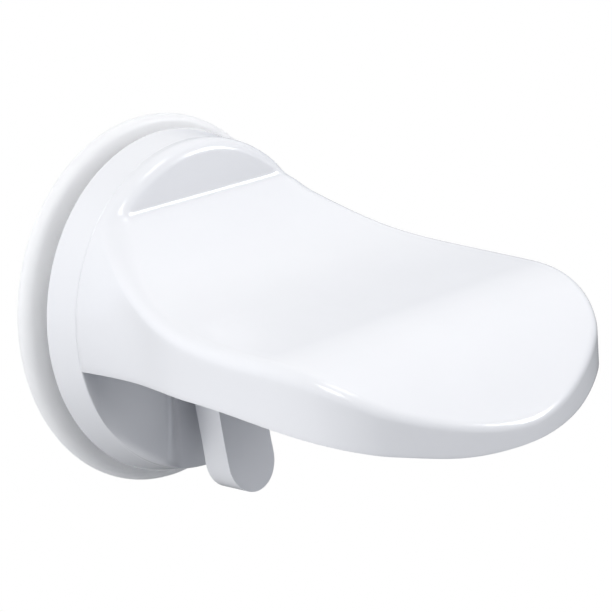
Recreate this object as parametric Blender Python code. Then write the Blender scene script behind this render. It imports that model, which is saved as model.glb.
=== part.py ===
"""A suction foot rest for a bathroom wall: a locking suction cup that carries a curved step for one foot.

X points out of the wall, Y to the right of someone who faces the wall, and Z up. The origin is the centre
of the cup's face on the wall. Every dimension below is in millimetres, and add_object turns it to metres.

The lever turns on a pin through the cup's stem. Its two lobes bear on a steel plate, so that turning the
lever up lowers the stem towards the wall and frees the cup. Their outline is the curve whose reach towards
a flat plate falls by the same amount for each degree of turn.
"""

import math

import bmesh
import bpy
from mathutils import Vector

MM = 0.001
GAP = 0.3
ROUND_SIDES = 72
SMALL_SIDES = 16

# Far enough to pass right through any part, for a cutter.
FAR = 80.0

# The suction cup, a soft disc. Its hollow is the space that is pumped out when the lever locks.
CUP_RADIUS = 60.0
CUP_FACE_INNER_RADIUS = 46.0
CUP_HOLLOW_DEPTH = 3.4
CUP_BACK = 6.6
CUP_HUB_RADIUS = 18.0
CUP_HUB_FRONT = 11.2

# The cup's outline as (height from the wall, radius): the hollow, and the rounded rim.
CUP_HOLLOW_OUTLINE = ((CUP_HOLLOW_DEPTH, 26.0), (2.7, 34.0), (1.2, 41.0), (0.0, CUP_FACE_INNER_RADIUS))
CUP_RIM_OUTLINE = (
    (0.0, 59.2),
    (0.5, 59.8),
    (1.6, CUP_RADIUS),
    (2.9, 59.8),
    (4.0, 59.1),
    (4.7, 58.0),
    (4.9, 56.4),
    (5.2, 52.0),
)

# The stud moulded into the cup, whose stem carries the lever.
STUD_FLANGE_RADIUS = 14.0
STUD_FLANGE_BACK = 5.4
STUD_FLANGE_FRONT = 8.6
STEM_WIDTH = 10.0
STEM_HEIGHT = 9.0
STEM_PAST_PIN = 5.0

# The base ring that presses on the back of the cup.
BASE_BACK = 10.1
BASE_FRONT = 21.1
BASE_BACK_RADIUS = 55.7
BASE_FRONT_RADIUS = 53.4
BASE_WALL = 3.0
BASE_HUB_RADIUS = 13.0
BASE_HUB_BACK = 12.6
PRESS_RIB_RADIUS = 41.5
PRESS_RIB_WIDTH = 2.2

# The two cheeks of the base, one on each side of the lever.
CHEEK_HEIGHT = 6.8
CHEEK_TOP = -9.9
CHEEK_INNER = 15.0
CHEEK_ROUND = 9.0
CHEEK_FULL = 20.0
CHEEK_FADE = 48.0
CHEEK_LEAN_START = 25.0
CHEEK_LEAN = 0.45
CHEEK_OUTER = 52.2

# The cam plate under the lobes.
PLATE_SIDE = 25.0
PLATE_THICKNESS = 1.0

# The lever. The cam's reach is from the pin to the plate when the lever is locked. The arm's front and
# back are two curves, whose knots are measured from the pin and follow the shell's pattern below.
PIN_X = 29.4
PIN_RADIUS = 2.0
CAM_REACH = 8.0
CAM_RELEASE = 3.0
LEVER_OPEN_ANGLE = 80.0
LEVER_HALF_WIDTH = 10.3
LEVER_END_CENTRE = -49.8
LEVER_SLOT_BOTTOM = -8.2
LEVER_LOBE_FRONT = 4.8
LEVER_LOBE_DROP = -2.0
LEVER_FOOT = LEVER_END_CENTRE - LEVER_HALF_WIDTH - 1.0
LEVER_FRONT_KNOTS = (
    (LEVER_LOBE_FRONT, LEVER_LOBE_DROP, -90.0, 0.0, 20.0),
    (10.7, LEVER_FOOT, -78.0, 20.0, 0.0),
)
LEVER_BACK_KNOTS = (
    (-0.9, LEVER_FOOT, 94.8, 0.0, 30.0),
    (-CAM_REACH, -6.0, 90.0, 6.0, 0.0),
)

# The foot shell: a drum on the base, and a step that runs out from it and rolls over at its tip.
SHELL_BACK = 21.4
DRUM_RADIUS = 53.6
DRUM_FRONT = 28.0
STEP_START_Z = 36.2
SHELL_TIP = 153.6
SHELL_WALL = 3.0
EDGE_RADIUS = 4.6
CREASE_RADIUS = 4.0
SHOULDER_END = 62.0

# Knots of the shell's three outlines: x, other coordinate, slope in degrees, and the handle on each side.
STEP_KNOTS = (
    (DRUM_FRONT, STEP_START_Z, -41.0, 0.0, 28.5),
    (108.0, 9.1, -4.0, 48.0, 25.0),
    (SHELL_TIP, -18.4, -43.0, 14.5, 0.0),
)
PLAN_KNOTS = (
    (DRUM_FRONT, DRUM_RADIUS, 0.0, 0.0, 32.5),
    (101.0, 65.5, 0.0, 38.5, 16.0),
    (138.0, 52.2, -49.0, 13.0, 10.5),
    (SHELL_TIP, 0.0, -90.0, 16.5, 0.0),
)
SKIRT_KNOTS = (
    (SHELL_BACK, -8.8, 0.0, 0.0, 25.0),
    (82.0, -7.0, 0.0, 25.0, 20.0),
    (142.0, -18.5, -27.0, 12.0, 5.0),
    (SHELL_TIP, -24.6, -10.0, 5.0, 0.0),
)

# The ribs under the step, and the channel between them that the lever swings up into.
CHANNEL_HALF = 14.4
RIB = 2.4
CHANNEL_END = 106.0
RIB_START = 26.7
CROSS_RIBS = (56.0, 88.0)

# The cover under the step.
COVER_THICKNESS = 2.4
COVER_INSET = 1.6
COVER_BACK = 22.0
COVER_EDGE_GAP = 1.1
COVER_SEAT = 1.1
SLOT_CORNER = 5.0

# Screws: the four that hold the shell on the base, and the eight that hold the cover.
SCREW_RADIUS = 1.5
SCREW_HEAD_RADIUS = 2.9
SCREW_HEAD = 1.8
CROSS_REACH = 1.6
CROSS_HALF = 0.4
BASE_SCREW_LENGTH = 8.6
COVER_SCREW_LENGTH = 9.0
BOSS_RADIUS = 4.0
BASE_SCREW_PLACES = ((22.0, 29.0), (-22.0, 29.0), (46.5, 10.0), (-46.5, 10.0))
COVER_SCREW_PLACES = (
    (38.0, 33.0),
    (38.0, -33.0),
    (72.0, 36.0),
    (72.0, -36.0),
    (102.0, 40.0),
    (102.0, -40.0),
    (122.0, 20.0),
    (122.0, -20.0),
)

# How finely the shell's skin is divided.
DRUM_STATIONS = 8
STEP_STATIONS = 16
STATION_GROWTH = 1.5
NOSE_STATIONS = 9
TOP_STEPS = 4
EDGE_STEPS = 4
WALL_STEPS = 3
END_SPREAD = 10.0
FAN_BEFORE = 5.0
FAN_AFTER = 6.0
FEET_BEFORE = 9.0
FEET_AFTER = 34.0

CAM_FALL = CAM_RELEASE / math.radians(LEVER_OPEN_ANGLE)


def clear_scene():
    for old in list(bpy.data.objects):
        bpy.data.objects.remove(old)


def make_material(name, colour, roughness, metallic=0.0):
    material = bpy.data.materials.new(name)
    material.use_nodes = True
    shader = material.node_tree.nodes["Principled BSDF"]
    shader.inputs["Base Color"].default_value = (*colour, 1.0)
    shader.inputs["Roughness"].default_value = roughness
    shader.inputs["Metallic"].default_value = metallic
    return material


def add_object(name, points, faces, material=None, origin=(0.0, 0.0, 0.0)):
    """A mesh from points in millimetres. The object's own origin is at the given point."""
    start = Vector(origin)
    mesh = bpy.data.meshes.new(name)
    mesh.from_pydata([(Vector(point) - start) * MM for point in points], [], faces)
    work = bmesh.new()
    work.from_mesh(mesh)
    bmesh.ops.recalc_face_normals(work, faces=work.faces)
    work.to_mesh(mesh)
    work.free()
    if material:
        mesh.materials.append(material)
    obj = bpy.data.objects.new(name, mesh)
    obj.location = start * MM
    bpy.context.scene.collection.objects.link(obj)
    return obj


def bake(obj):
    """Replaces the object's mesh with the one that its modifiers make."""
    bpy.context.view_layer.update()
    graph = bpy.context.evaluated_depsgraph_get()
    mesh = bpy.data.meshes.new_from_object(obj.evaluated_get(graph))
    obj.modifiers.clear()
    obj.data = mesh


def combine(obj, tool, operation):
    """Joins a tool to the object, or cuts it away, and removes the tool."""
    modifier = obj.modifiers.new(operation.lower(), "BOOLEAN")
    modifier.operation = operation
    modifier.solver = "EXACT"
    modifier.object = tool
    bake(obj)
    bpy.data.objects.remove(tool)


def shade(obj, sharp_degrees=35.0):
    obj.data.shade_smooth()
    obj.data.set_sharp_from_angle(angle=math.radians(sharp_degrees))


def turned(name, outline, sides=ROUND_SIDES, centre=(0.0, 0.0, 0.0), along="X", material=None):
    """A solid turned about X or Z through a centre, from an outline of (place along the axis, radius)."""
    points = []
    rings = []
    for place, radius in outline:
        if radius < 1e-6:
            rings.append([len(points)] * sides)
            points.append((place, 0.0, 0.0))
            continue
        rings.append(list(range(len(points), len(points) + sides)))
        for side in range(sides):
            angle = 2.0 * math.pi * side / sides
            points.append((place, radius * math.cos(angle), radius * math.sin(angle)))
    faces = []
    for ring, following in zip(rings, rings[1:] + rings[:1]):
        for side in range(sides):
            after = (side + 1) % sides
            corners = [ring[side], ring[after], following[after], following[side]]
            kept = [c for i, c in enumerate(corners) if c not in corners[:i]]
            if len(kept) > 2:
                faces.append(kept)
    if along == "Z":
        points = [(z, y, x) for x, y, z in points]
    shift = Vector(centre)
    return add_object(name, [Vector(point) + shift for point in points], faces, material)


def prism(name, outline, low, high, plane="XZ", material=None, origin=(0.0, 0.0, 0.0)):
    """A straight solid over an outline in one plane, from low to high along the third axis."""
    place = {
        "XZ": lambda a, b, c: (a, c, b),
        "XY": lambda a, b, c: (a, b, c),
        "YZ": lambda a, b, c: (c, a, b),
    }[plane]
    count = len(outline)
    points = [place(a, b, low) for a, b in outline] + [place(a, b, high) for a, b in outline]
    faces = [list(range(count)), list(range(count, 2 * count))]
    for corner in range(count):
        after = (corner + 1) % count
        faces.append([corner, after, count + after, count + corner])
    return add_object(name, points, faces, material, origin)


def block(name, low, high):
    outline = [(low[0], low[2]), (high[0], low[2]), (high[0], high[2]), (low[0], high[2])]
    return prism(name, outline, low[1], high[1])


def slab(name, front, back):
    """A closed solid between two grids of points of the same size."""
    rows = len(front)
    columns = len(front[0])
    points = [point for row in front for point in row] + [point for row in back for point in row]
    half = rows * columns

    def at(row, column, side):
        return side * half + row * columns + column

    faces = []
    for row in range(rows - 1):
        for column in range(columns - 1):
            for side in (0, 1):
                faces.append(
                    [
                        at(row, column, side),
                        at(row, column + 1, side),
                        at(row + 1, column + 1, side),
                        at(row + 1, column, side),
                    ]
                )
    edge = [(0, column) for column in range(columns)]
    edge += [(row, columns - 1) for row in range(1, rows)]
    edge += [(rows - 1, column) for column in range(columns - 2, -1, -1)]
    edge += [(row, 0) for row in range(rows - 2, 0, -1)]
    for (row, column), (next_row, next_column) in zip(edge, edge[1:] + edge[:1]):
        faces.append(
            [
                at(row, column, 0),
                at(next_row, next_column, 0),
                at(next_row, next_column, 1),
                at(row, column, 1),
            ]
        )
    return add_object(name, points, faces)


def smooth_step(value):
    value = min(max(value, 0.0), 1.0)
    return value * value * (3.0 - 2.0 * value)


def curve_through(knots, steps):
    """Points along a chain of cubic curves. A knot is a point, a slope, and the handles before and after."""
    points = []
    for first, second in zip(knots[:-1], knots[1:]):
        start = Vector(first[:2])
        end = Vector(second[:2])
        leave = math.radians(first[2])
        arrive = math.radians(second[2])
        out = start + first[4] * Vector((math.cos(leave), math.sin(leave)))
        back = end - second[3] * Vector((math.cos(arrive), math.sin(arrive)))
        for step in range(steps):
            t = step / steps
            u = 1.0 - t
            points.append(u**3 * start + 3 * u * u * t * out + 3 * u * t * t * back + t**3 * end)
    points.append(Vector(knots[-1][:2]))
    return points


def height_at(points, x):
    """The second coordinate of a line of points at a first coordinate, which only grows along it."""
    for first, second in zip(points[:-1], points[1:]):
        if x <= second.x:
            share = (x - first.x) / (second.x - first.x)
            return first.y + share * (second.y - first.y)
    return points[-1].y


STEP_LINE = curve_through(STEP_KNOTS, 24)
SKIRT_LINE = curve_through(SKIRT_KNOTS, 24)
PLAN_LINE = curve_through(PLAN_KNOTS, 24)


def side_at(x, z, half_width):
    """How far out the shell's side is: round with the drum at the root, and upright past the shoulder."""
    share = 1.0 - smooth_step((x - DRUM_FRONT) / (SHOULDER_END - DRUM_FRONT))
    return half_width * math.sqrt(max(0.0, 1.0 - share * (z / DRUM_RADIUS) ** 2))


def plan_half(x):
    return DRUM_RADIUS if x <= DRUM_FRONT else height_at(PLAN_LINE, x)


class TopLine:
    """The shell's side view: down the drum's face, round the crease, and along the step to the tip."""

    def __init__(self):
        slope = math.radians(STEP_KNOTS[0][2])
        turn = math.pi / 2.0 + slope
        reach = CREASE_RADIUS * math.tan(turn / 2.0)
        centre = Vector((DRUM_FRONT + CREASE_RADIUS, STEP_START_Z + reach))
        self.points = [Vector((DRUM_FRONT, DRUM_RADIUS))]
        arc_steps = 6
        for step in range(arc_steps + 1):
            angle = math.pi + turn * step / arc_steps
            self.points.append(centre + CREASE_RADIUS * Vector((math.cos(angle), math.sin(angle))))
        arc_end = self.points[-1].x
        self.points += [point for point in STEP_LINE if point.x > arc_end + 0.5]
        self.lengths = [0.0]
        for first, second in zip(self.points[:-1], self.points[1:]):
            self.lengths.append(self.lengths[-1] + (second - first).length)
        self.length = self.lengths[-1]

    def at(self, distance):
        """The point at a distance along the line. It goes straight on past either end."""
        index = 0
        while index < len(self.points) - 2 and distance > self.lengths[index + 1]:
            index += 1
        share = (distance - self.lengths[index]) / (self.lengths[index + 1] - self.lengths[index])
        return self.points[index] + share * (self.points[index + 1] - self.points[index])

    def distance_of(self, x):
        """The distance along the line at which the step reaches a given x."""
        index = 0
        while index < len(self.points) - 2 and self.points[index + 1].x < x:
            index += 1
        first, second = self.points[index], self.points[index + 1]
        share = (x - first.x) / (second.x - first.x)
        return self.lengths[index] + share * (self.lengths[index + 1] - self.lengths[index])


TOP = TopLine()


def wall_direction(distance):
    """The way the side wall leaves the top edge: back on the drum, down on the step, a fan between."""
    crease = DRUM_RADIUS - STEP_START_Z
    share = smooth_step((distance - crease + FAN_BEFORE) / (FAN_BEFORE + FAN_AFTER))
    angle = share * math.pi / 2.0
    return Vector((-math.cos(angle), -math.sin(angle)))


def wall_feet(stations):
    """The foot of each station's wall line: straight behind on the drum, straight below on the step.

    Between them the feet run evenly down the back edge, round the skirt's back corner and along its bottom.
    """
    crease = DRUM_RADIUS - STEP_START_Z
    start, end = crease - FEET_BEFORE, crease + FEET_AFTER
    corner = SKIRT_LINE[0]
    down = TOP.at(start).y - corner.y
    along = TOP.at(end).x - corner.x
    feet = []
    for place, _ in stations:
        top = TOP.at(place)
        walked = (down + along) * (place - start) / (end - start)
        if place <= start:
            feet.append(Vector((SHELL_BACK, top.y)))
        elif place >= end:
            feet.append(Vector((top.x, height_at(SKIRT_LINE, top.x))))
        elif walked <= down:
            feet.append(Vector((SHELL_BACK, corner.y + down - walked)))
        else:
            x = corner.x + walked - down
            feet.append(Vector((x, height_at(SKIRT_LINE, x))))
    nearest = min(range(len(feet)), key=lambda index: (feet[index] - corner).length)
    feet[nearest] = corner
    return feet


def shell_stations():
    """Corners of the top outline as (distance along the top line, half width)."""
    stations = []
    crease_angle = math.asin(STEP_START_Z / DRUM_RADIUS)
    for step in range(DRUM_STATIONS):
        angle = math.pi / 2.0 + (crease_angle - math.pi / 2.0) * step / DRUM_STATIONS
        z = DRUM_RADIUS * math.sin(angle)
        stations.append((DRUM_RADIUS - z, DRUM_RADIUS * math.cos(angle)))
    widest = PLAN_KNOTS[1][0]
    for step in range(STEP_STATIONS):
        x = DRUM_FRONT + (widest - DRUM_FRONT) * (step / STEP_STATIONS) ** STATION_GROWTH
        distance = TOP.distance_of(x) if step else DRUM_RADIUS - STEP_START_Z
        stations.append((distance, side_at(x, TOP.at(distance).y, plan_half(x))))
    for point in curve_through(PLAN_KNOTS[1:], NOSE_STATIONS):
        stations.append((TOP.distance_of(point.x), point.y))
    return stations


def shell_row(stations, index, foot):
    """One row of the skin, from its middle line over the rounded edge and down to the wall's foot."""
    distance, half = stations[index]
    before = stations[max(index - 1, 0)]
    after = stations[min(index + 1, len(stations) - 1)]
    along = Vector((after[0] - before[0], after[1] - before[1])).normalized()
    inward = Vector((along.y, -along.x))
    if index == 0:
        inward = Vector((1.0, 0.0))
    if index == len(stations) - 1:
        inward = Vector((-1.0, 0.0))

    def on_top(place, width):
        point = TOP.at(place)
        return Vector((point.x, width, point.y))

    direction = wall_direction(distance)
    run = TOP.at(distance + 0.5) - TOP.at(distance - 0.5)
    run = inward.x * run.normalized()
    outward = Vector((-run.x, -inward.y, -run.y))
    turn = outward.angle(Vector((direction.x, 0.0, direction.y)))
    reach = EDGE_RADIUS * math.tan(turn / 2.0)
    edge_place = distance + reach * inward.x
    edge_half = max(half + reach * inward.y, 0.0)
    middle = edge_place + EDGE_RADIUS * (1.0 - smooth_step((edge_place - EDGE_RADIUS) / END_SPREAD))
    middle -= EDGE_RADIUS * smooth_step((edge_place - TOP.length) / (2.0 * END_SPREAD) + 1.0)
    row = []
    for step in range(TOP_STEPS):
        share = step / TOP_STEPS
        row.append(on_top(middle + (edge_place - middle) * share, edge_half * share))

    corner = TOP.at(distance)

    def on_wall(point):
        if half < 1e-6:
            return Vector((point.x, 0.0, point.y))
        width = plan_half(point.x) if point.x < SHOULDER_END else half
        return Vector((point.x, side_at(point.x, point.y, width), point.y))

    top_tangent = on_top(edge_place, edge_half)
    sharp = Vector((corner.x, half, corner.y))
    wall_start = corner + reach * direction
    wall_tangent = on_wall(wall_start)
    weight = math.cos(turn / 2.0)
    for step in range(EDGE_STEPS):
        t = step / EDGE_STEPS
        parts = ((1.0 - t) ** 2, 2.0 * t * (1.0 - t) * weight, t * t)
        row.append((parts[0] * top_tangent + parts[1] * sharp + parts[2] * wall_tangent) / sum(parts))
    for step in range(WALL_STEPS + 1):
        row.append(on_wall(wall_start.lerp(foot, step / WALL_STEPS)))
    return row


def shell_skin(material):
    """The foot shell as a skin of even thickness, made as one half, mirrored and thickened inwards."""
    stations = shell_stations()
    feet = wall_feet(stations)
    rows = [shell_row(stations, index, feet[index]) for index in range(len(stations))]
    columns = len(rows[0])
    points = [point for row in rows for point in row]
    faces = []
    for row in range(len(rows) - 1):
        for column in range(columns - 1):
            first = row * columns + column
            faces.append([first, first + columns, first + columns + 1, first + 1])
    obj = add_object("foot_shell", points, faces, material)
    mirror = obj.modifiers.new("mirror", "MIRROR")
    mirror.use_axis = (False, True, False)
    mirror.use_mirror_merge = True
    mirror.merge_threshold = 0.00005
    wall = obj.modifiers.new("wall", "SOLIDIFY")
    wall.thickness = SHELL_WALL * MM
    wall.offset = -1.0
    wall.use_even_offset = True
    bake(obj)
    return obj


def cover_line(raise_by):
    """Points along the cover's side view: the skirt's bottom edge, raised."""
    end = SHELL_TIP - SHELL_WALL
    xs = [COVER_BACK + (end - COVER_BACK) * step / 24 for step in range(25)]
    return [(x, height_at(SKIRT_LINE, x) + COVER_INSET + raise_by) for x in xs]


def cover_bottom_at(x):
    return height_at(SKIRT_LINE, x) + COVER_INSET


def under_step(x, sink):
    """A height inside the step's wall, where a rib or a boss joins it."""
    return TOP.at(TOP.distance_of(x)).y - sink


def rib_outline(start, end, count):
    """Side view of a rib that hangs from the step and ends just above the cover."""
    xs = [start + (end - start) * step / count for step in range(count + 1)]
    top = [(x, under_step(max(x, DRUM_FRONT + 1.0), 1.6)) for x in xs]
    bottom = [(x, cover_bottom_at(x) + COVER_THICKNESS + 2.0 * GAP) for x in reversed(xs)]
    return top + bottom


def build_foot_shell(material):
    shell = shell_skin(material)
    start = SHELL_BACK + GAP
    long_rib = rib_outline(RIB_START, CHANNEL_END + RIB, 14)
    for side in (-1.0, 1.0):
        inner, outer = sorted((side * CHANNEL_HALF, side * (CHANNEL_HALF + RIB)))
        combine(shell, prism("rib", long_rib, inner, outer), "UNION")
        for x in CROSS_RIBS:
            reach = plan_half(x) - 0.5 * SHELL_WALL
            low, high = sorted((side * (CHANNEL_HALF + 0.5 * RIB), side * reach))
            combine(shell, prism("cross_rib", rib_outline(x, x + RIB, 1), low, high), "UNION")
    end_wall = rib_outline(CHANNEL_END, CHANNEL_END + RIB, 1)
    end_half = CHANNEL_HALF + 0.5 * RIB
    combine(shell, prism("end_wall", end_wall, -end_half, end_half), "UNION")
    for x, y in COVER_SCREW_PLACES:
        highest = max(cover_bottom_at(x - BOSS_RADIUS), cover_bottom_at(x + BOSS_RADIUS))
        low = highest + COVER_THICKNESS + 2.0 * GAP
        high = under_step(x + BOSS_RADIUS, 1.2)
        boss = turned("boss", rod(low, high, BOSS_RADIUS), SMALL_SIDES, (x, y, 0.0), "Z")
        combine(shell, boss, "UNION")
    for y, z in BASE_SCREW_PLACES:
        far = min(STEP_LINE, key=lambda point: abs(point.y - z - BOSS_RADIUS)).x - 1.2
        end = min(far, SHELL_BACK + 2.0 * BASE_SCREW_LENGTH)
        boss = turned("boss", rod(start, end, BOSS_RADIUS), SMALL_SIDES, (0.0, y, z), "X")
        combine(shell, boss, "UNION")
    for x, y in COVER_SCREW_PLACES:
        low = cover_bottom_at(x)
        drill = rod(low, low + COVER_SCREW_LENGTH + 1.0, SCREW_RADIUS + GAP)
        hole = turned("hole", drill, SMALL_SIDES, (x, y, 0.0), "Z")
        combine(shell, hole, "DIFFERENCE")
    for y, z in BASE_SCREW_PLACES:
        end = BASE_FRONT - BASE_WALL + BASE_SCREW_LENGTH + 1.0
        hole = turned("hole", rod(BASE_FRONT, end, SCREW_RADIUS + GAP), SMALL_SIDES, (0.0, y, z), "X")
        combine(shell, hole, "DIFFERENCE")
    shade(shell, 30.0)
    return shell


def rod(low, high, radius):
    """Outline of a plain round bar for turned()."""
    return [(low, 0.0), (low, radius), (high, radius), (high, 0.0)]


def inset_plan(inset):
    """The shell's plan outline moved inwards, as a closed outline over both halves."""
    line = [Vector((COVER_BACK, DRUM_RADIUS))] + PLAN_LINE
    half = []
    for index, point in enumerate(line):
        along = line[min(index + 1, len(line) - 1)] - line[max(index - 1, 0)]
        if index == len(line) - 1:
            along = Vector((0.0, -1.0))
        normal = Vector((-along.y, along.x)).normalized()
        half.append(point - inset * normal)
    half = [point for index, point in enumerate(half) if index % 3 == 0 or index == len(half) - 1]
    return half + [Vector((point.x, -point.y)) for point in reversed(half[:-1])]


def slot_outline():
    """Plan of the cover's slot for the lever: open at the base, with two rounded corners at its far end."""
    outline = [(COVER_BACK - 10.0, CHANNEL_HALF)]
    corner_steps = 6
    for step in range(corner_steps + 1):
        angle = math.pi / 2.0 * (1.0 - step / corner_steps)
        x = CHANNEL_END - SLOT_CORNER + SLOT_CORNER * math.cos(angle)
        outline.append((x, CHANNEL_HALF - SLOT_CORNER + SLOT_CORNER * math.sin(angle)))
    return outline + [(x, -y) for x, y in reversed(outline)]


def build_cover(material):
    strip = cover_line(0.0) + list(reversed(cover_line(COVER_THICKNESS)))
    cover = prism("underside_cover", strip, -FAR, FAR, "XZ", material)
    outline = inset_plan(SHELL_WALL + COVER_EDGE_GAP)
    combine(cover, prism("plan", outline, -FAR, FAR, "XY"), "INTERSECT")
    combine(cover, prism("slot", slot_outline(), -FAR, FAR, "XY"), "DIFFERENCE")
    for x, y in COVER_SCREW_PLACES:
        level = cover_bottom_at(x)
        seat = level + COVER_SEAT
        hole = [
            (level - 5.0, 0.0),
            (level - 5.0, SCREW_HEAD_RADIUS + GAP),
            (seat, SCREW_HEAD_RADIUS + GAP),
            (seat, SCREW_RADIUS + GAP),
            (level + 10.0, SCREW_RADIUS + GAP),
            (level + 10.0, 0.0),
        ]
        combine(cover, turned("hole", hole, SMALL_SIDES, (x, y, 0.0), "Z"), "DIFFERENCE")
    shade(cover, 30.0)
    return cover


def build_cup(material):
    flange_hole = STUD_FLANGE_RADIUS + GAP
    stem_hole = 0.5 * math.hypot(STEM_WIDTH, STEM_HEIGHT) + GAP
    seat = PRESS_RIB_WIDTH - 0.2
    outline = [
        (CUP_HOLLOW_DEPTH, 0.0),
        *CUP_HOLLOW_OUTLINE,
        *CUP_RIM_OUTLINE,
        (CUP_BACK, PRESS_RIB_RADIUS + seat),
        (CUP_BACK, PRESS_RIB_RADIUS - seat),
        (CUP_BACK + 1.8, CUP_HUB_RADIUS + 4.0),
        (CUP_HUB_FRONT, CUP_HUB_RADIUS),
        (CUP_HUB_FRONT, stem_hole),
        (STUD_FLANGE_FRONT + GAP, stem_hole),
        (STUD_FLANGE_FRONT + GAP, flange_hole),
        (STUD_FLANGE_BACK - GAP, flange_hole),
        (STUD_FLANGE_BACK - GAP, 0.0),
    ]
    cup = turned("suction_cup", outline, material=material)
    shade(cup, 40.0)
    return cup


def build_stud(material):
    flange = rod(STUD_FLANGE_BACK, STUD_FLANGE_FRONT, STUD_FLANGE_RADIUS)
    stud = turned("cup_stud", flange, 48, material=material)
    low = (STUD_FLANGE_BACK + 1.0, -0.5 * STEM_WIDTH, -0.5 * STEM_HEIGHT)
    high = (PIN_X + STEM_PAST_PIN, 0.5 * STEM_WIDTH, 0.5 * STEM_HEIGHT)
    combine(stud, block("stem", low, high), "UNION")
    combine(stud, pin_bar("hole", PIN_RADIUS + GAP, STEM_WIDTH), "DIFFERENCE")
    shade(stud)
    return stud


def pin_bar(name, radius, half_length, material=None, origin=(0.0, 0.0, 0.0)):
    """A round bar across the object, on the lever's axis."""
    sides = 24
    ring = [2.0 * math.pi * side / sides for side in range(sides)]
    outline = [(PIN_X + radius * math.cos(angle), radius * math.sin(angle)) for angle in ring]
    return prism(name, outline, -half_length, half_length, "XZ", material, origin)


def build_pin(material):
    pin = pin_bar("lever_pin", PIN_RADIUS, LEVER_HALF_WIDTH - 0.5, material, (PIN_X, 0.0, 0.0))
    shade(pin)
    return pin


def cheek(side):
    """One raised cheek of the base: a low dome that rounds over towards the lever."""
    round_steps = 6
    flat_steps = 9
    row_steps = 7
    flat_start = CHEEK_INNER + CHEEK_ROUND
    ys = []
    for step in range(round_steps):
        ys.append(CHEEK_INNER + CHEEK_ROUND * (1.0 - math.cos(math.pi / 2.0 * step / round_steps)))
    for step in range(flat_steps + 1):
        ys.append(flat_start + (CHEEK_OUTER - flat_start) * step / flat_steps)
    lean_run = BASE_FRONT_RADIUS - CHEEK_LEAN_START
    front = []
    back = []
    for y in ys:
        low = -math.sqrt(BASE_FRONT_RADIUS**2 - y * y)
        spread = 1.0 - smooth_step((y - CHEEK_FULL) / (CHEEK_FADE - CHEEK_FULL))
        over = min((y - CHEEK_INNER) / CHEEK_ROUND, 1.0)
        spread *= math.sqrt(max(0.0, 1.0 - (1.0 - over) ** 2))
        front_row = []
        for step in range(row_steps + 1):
            z = CHEEK_TOP + (low - CHEEK_TOP) * step / row_steps
            lean = 1.0 - CHEEK_LEAN * smooth_step((-z - CHEEK_LEAN_START) / lean_run)
            front_row.append((BASE_FRONT + CHEEK_HEIGHT * spread * lean, side * y, z))
        front.append(front_row)
        back.append([(BASE_FRONT - 1.0, y_side, z) for _, y_side, z in front_row])
    return slab("cheek", front, back)


def build_base(material):
    wall_back = BASE_FRONT - BASE_WALL
    taper = (BASE_BACK_RADIUS - BASE_FRONT_RADIUS) / (BASE_FRONT - BASE_BACK)
    inner_front = BASE_FRONT_RADIUS + taper * BASE_WALL - BASE_WALL
    rib_low = PRESS_RIB_RADIUS - 0.5 * PRESS_RIB_WIDTH
    rib_high = PRESS_RIB_RADIUS + 0.5 * PRESS_RIB_WIDTH
    outline = [
        (BASE_FRONT, 0.0),
        (BASE_FRONT, BASE_FRONT_RADIUS),
        (BASE_BACK, BASE_BACK_RADIUS),
        (BASE_BACK, BASE_BACK_RADIUS - BASE_WALL),
        (wall_back, inner_front),
        (wall_back, rib_high),
        (CUP_BACK + GAP, rib_high),
        (CUP_BACK + GAP, rib_low),
        (wall_back, rib_low),
        (wall_back, BASE_HUB_RADIUS),
        (BASE_HUB_BACK, BASE_HUB_RADIUS),
        (BASE_HUB_BACK, 0.0),
    ]
    base = turned("base_housing", outline, material=material)
    for side in (-1.0, 1.0):
        combine(base, cheek(side), "UNION")
    half = 0.5 * PLATE_SIDE + GAP
    floor = BASE_FRONT - PLATE_THICKNESS - GAP
    combine(base, block("recess", (floor, -half, -half), (BASE_FRONT + 5.0, half, half)), "DIFFERENCE")
    combine(base, stem_slot(BASE_HUB_BACK - 2.0, BASE_FRONT + 2.0), "DIFFERENCE")
    for y, z in BASE_SCREW_PLACES:
        low, high = wall_back - 2.0, BASE_FRONT + 2.0
        hole = turned("hole", rod(low, high, SCREW_RADIUS + GAP), SMALL_SIDES, (0.0, y, z), "X")
        combine(base, hole, "DIFFERENCE")
    shade(base, 30.0)
    return base


def stem_slot(low, high):
    half_width = 0.5 * STEM_WIDTH + GAP
    half_height = 0.5 * STEM_HEIGHT + GAP
    return block("stem_slot", (low, -half_width, -half_height), (high, half_width, half_height))


def build_cam_plate(material):
    half = 0.5 * PLATE_SIDE
    outline = [(-half, -half), (half, -half), (half, half), (-half, half)]
    plate = prism("cam_plate", outline, BASE_FRONT - PLATE_THICKNESS, BASE_FRONT, "YZ", material)
    combine(plate, stem_slot(BASE_FRONT - 5.0, BASE_FRONT + 5.0), "DIFFERENCE")
    shade(plate)
    return plate


def lever_side():
    """The lever's side view about its pin: the cam, the lobe's front, the arm's front, and its back."""
    outline = []
    cam_steps = 12
    for step in range(cam_steps + 1):
        angle = math.pi / 2.0 * step / cam_steps
        reach = CAM_REACH - CAM_FALL * angle
        outward = Vector((-math.cos(angle), math.sin(angle)))
        across = Vector((math.sin(angle), math.cos(angle)))
        outline.append(reach * outward - CAM_FALL * across)
    top = outline[-1]
    lobe_steps = 7
    for step in range(1, lobe_steps + 1):
        angle = math.pi / 2.0 * (1.0 - step / lobe_steps)
        x = top.x + (LEVER_LOBE_FRONT - top.x) * math.cos(angle)
        outline.append(Vector((x, LEVER_LOBE_DROP + (top.y - LEVER_LOBE_DROP) * math.sin(angle))))
    outline += curve_through(LEVER_FRONT_KNOTS, 8)[1:]
    outline += curve_through(LEVER_BACK_KNOTS, 8)
    return [(PIN_X + point.x, point.y) for point in outline]


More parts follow.
